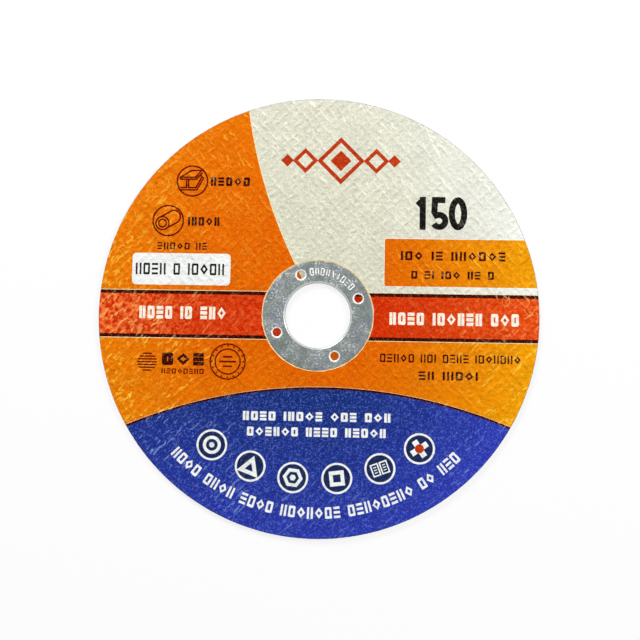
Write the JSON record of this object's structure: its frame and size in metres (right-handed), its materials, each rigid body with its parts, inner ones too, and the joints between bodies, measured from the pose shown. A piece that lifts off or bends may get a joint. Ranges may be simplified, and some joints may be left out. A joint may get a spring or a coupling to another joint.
{
  "type": "cut-off wheel",
  "caption": "Thin resin-bonded cut-off wheel with a printed paper label and a pressed steel arbor ring, lying label up.",
  "frame": {"origin": "bore axis at the back face, which is the lowest plane of the wheel as it lies label up", "axes": "+Z out of the label along the bore axis, +Y towards the top of the label's print, +X to its right"},
  "size_m": [0.15, 0.15, 0.0017],
  "materials": {
    "resin_abrasive": "rough, granular, glass net moulded in",
    "label_paper": "glossy print",
    "ring_steel": "satin, zinc plated"
  },
  "bodies": {
    "root": {"abrasive_disc": "resin_abrasive", "label": "label_paper", "arbor_ring": "ring_steel"}
  },
  "joints": []
}
